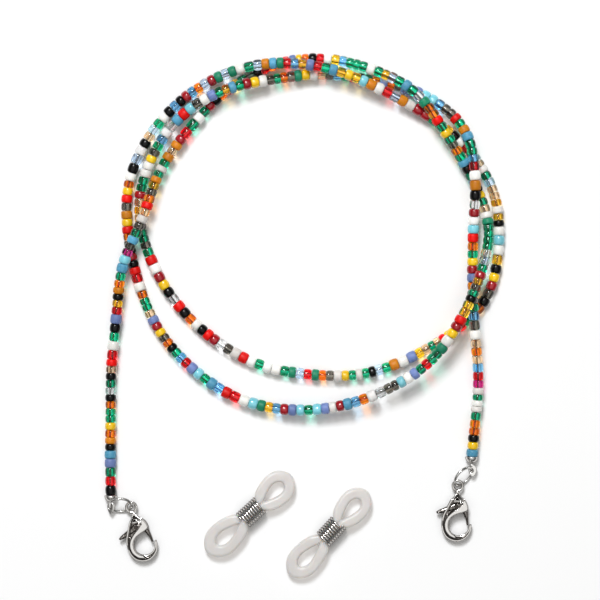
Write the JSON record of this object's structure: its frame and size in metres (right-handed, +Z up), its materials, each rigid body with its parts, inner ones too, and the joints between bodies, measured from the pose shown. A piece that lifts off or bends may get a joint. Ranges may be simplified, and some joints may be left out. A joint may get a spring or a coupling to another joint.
{
  "type": "eyeglass retainer strap",
  "caption": "Beaded eyeglass retainer strap on one thread, laid in nested arcs, with a jump ring and sprung lobster clasp on each end and loose silicone temple grips with wire coil sliders.",
  "frame": {"origin": "centre of the footprint of the laid-out strap, on the surface it lies on", "axes": "+X to the side with the higher clasp, +Y from the clasps towards the top of the arcs, +Z up from the surface"},
  "size_m": [0.0802, 0.1056, 0.0071],
  "materials": {
    "thread_nylon": "satin twisted",
    "glass_black_gloss": "gloss opaque",
    "glass_white_gloss": "gloss opaque",
    "glass_yellow_gloss": "gloss opaque",
    "glass_dark_red_gloss": "gloss opaque",
    "glass_turquoise_gloss": "gloss opaque",
    "glass_orange_clear": "gloss transparent",
    "glass_teal_clear": "gloss transparent",
    "glass_red_clear": "gloss transparent",
    "glass_smoke_clear": "gloss transparent",
    "glass_aqua_clear": "gloss transparent",
    "glass_amber_clear": "gloss transparent",
    "glass_champagne_clear": "gloss transparent",
    "glass_crystal_clear": "gloss transparent",
    "glass_ice_blue_clear": "gloss transparent",
    "glass_magenta_clear": "gloss transparent",
    "glass_red_frosted": "frosted translucent",
    "glass_sky_frosted": "frosted translucent",
    "glass_periwinkle_frosted": "frosted translucent",
    "glass_amber_frosted": "frosted translucent",
    "glass_green_frosted": "frosted translucent",
    "glass_pearl_frosted": "frosted translucent",
    "metal_plated": "polished",
    "metal_sheet": "polished",
    "spring_steel": "bright drawn",
    "silicone_clear": "translucent satin"
  },
  "bodies": {
    "root": {"thread": "thread_nylon", "beads_black_gloss": "glass_black_gloss", "beads_white_gloss": "glass_white_gloss", "beads_yellow_gloss": "glass_yellow_gloss", "beads_dark_red_gloss": "glass_dark_red_gloss", "beads_turquoise_gloss": "glass_turquoise_gloss", "beads_orange_clear": "glass_orange_clear", "beads_teal_clear": "glass_teal_clear", "beads_red_clear": "glass_red_clear", "beads_smoke_clear": "glass_smoke_clear", "beads_aqua_clear": "glass_aqua_clear", "beads_amber_clear": "glass_amber_clear", "beads_champagne_clear": "glass_champagne_clear", "beads_crystal_clear": "glass_crystal_clear", "beads_ice_blue_clear": "glass_ice_blue_clear", "beads_magenta_clear": "glass_magenta_clear", "beads_red_frosted": "glass_red_frosted", "beads_sky_frosted": "glass_sky_frosted", "beads_periwinkle_frosted": "glass_periwinkle_frosted", "beads_amber_frosted": "glass_amber_frosted", "beads_green_frosted": "glass_green_frosted", "beads_pearl_frosted": "glass_pearl_frosted", "bead_tip_left": "metal_sheet", "crimp_left": "metal_sheet", "bead_tip_right": "metal_sheet", "crimp_right": "metal_sheet"},
    "ring_left": {"jump_ring_left": "metal_plated"},
    "clasp_left": {"clasp_body_left": "metal_plated", "trigger_pin_left": "metal_plated", "trigger_spring_left": "spring_steel"},
    "trigger_left": {"clasp_trigger_left": "metal_plated"},
    "grip_left": {"temple_grip_left": "silicone_clear"},
    "coil_left": {"coil_slider_left": "spring_steel"},
    "ring_right": {"jump_ring_right": "metal_plated"},
    "clasp_right": {"clasp_body_right": "metal_plated", "trigger_pin_right": "metal_plated", "trigger_spring_right": "spring_steel"},
    "trigger_right": {"clasp_trigger_right": "metal_plated"},
    "grip_right": {"temple_grip_right": "silicone_clear"},
    "coil_right": {"coil_slider_right": "spring_steel"}
  },
  "joints": [
    {"name": "ring_swing_left", "type": "hinge", "parent": "root", "child": "ring_left", "pos_m": [-0.03883, -0.03823, 0.00135], "axis": [0, 0, 1], "range_deg": [-15, 15]},
    {"name": "clasp_swing_left", "type": "hinge", "parent": "ring_left", "child": "clasp_left", "pos_m": [-0.03475, -0.03812, 0.00135], "axis": [0, 0, 1], "range_deg": [-20, 20]},
    {"name": "trigger_press_left", "type": "hinge", "parent": "clasp_left", "child": "trigger_left", "pos_m": [-0.0338, -0.04212, 0.00135], "axis": [0, 0, -1], "range_deg": [0, 24], "stiffness_Nm_per_rad": 0.01, "deforming": ["trigger_spring_left"]},
    {"name": "grip_lift_left", "type": "slide", "parent": "root", "child": "grip_left", "axis": [0, 0, 1], "range_m": [0, 0.03]},
    {"name": "coil_slide_left", "type": "slide", "parent": "grip_left", "child": "coil_left", "axis": [0.7361, 0.6769, 0], "range_m": [-0.002, 0.002], "deforming": ["temple_grip_left"]},
    {"name": "ring_swing_right", "type": "hinge", "parent": "root", "child": "ring_right", "pos_m": [0.0334, -0.0308, 0.00135], "axis": [0, 0, 1], "range_deg": [-15, 15]},
    {"name": "clasp_swing_right", "type": "hinge", "parent": "ring_right", "child": "clasp_right", "pos_m": [0.03062, -0.03378, 0.00135], "axis": [0, 0, 1], "range_deg": [-20, 20]},
    {"name": "trigger_press_right", "type": "hinge", "parent": "clasp_right", "child": "trigger_right", "pos_m": [0.03027, -0.03788, 0.00135], "axis": [0, 0, -1], "range_deg": [0, 24], "stiffness_Nm_per_rad": 0.01, "deforming": ["trigger_spring_right"]},
    {"name": "grip_lift_right", "type": "slide", "parent": "root", "child": "grip_right", "axis": [0, 0, 1], "range_m": [0, 0.03]},
    {"name": "coil_slide_right", "type": "slide", "parent": "grip_right", "child": "coil_right", "axis": [0.6769, 0.7361, 0], "range_m": [-0.002, 0.002], "deforming": ["temple_grip_right"]}
  ]
}
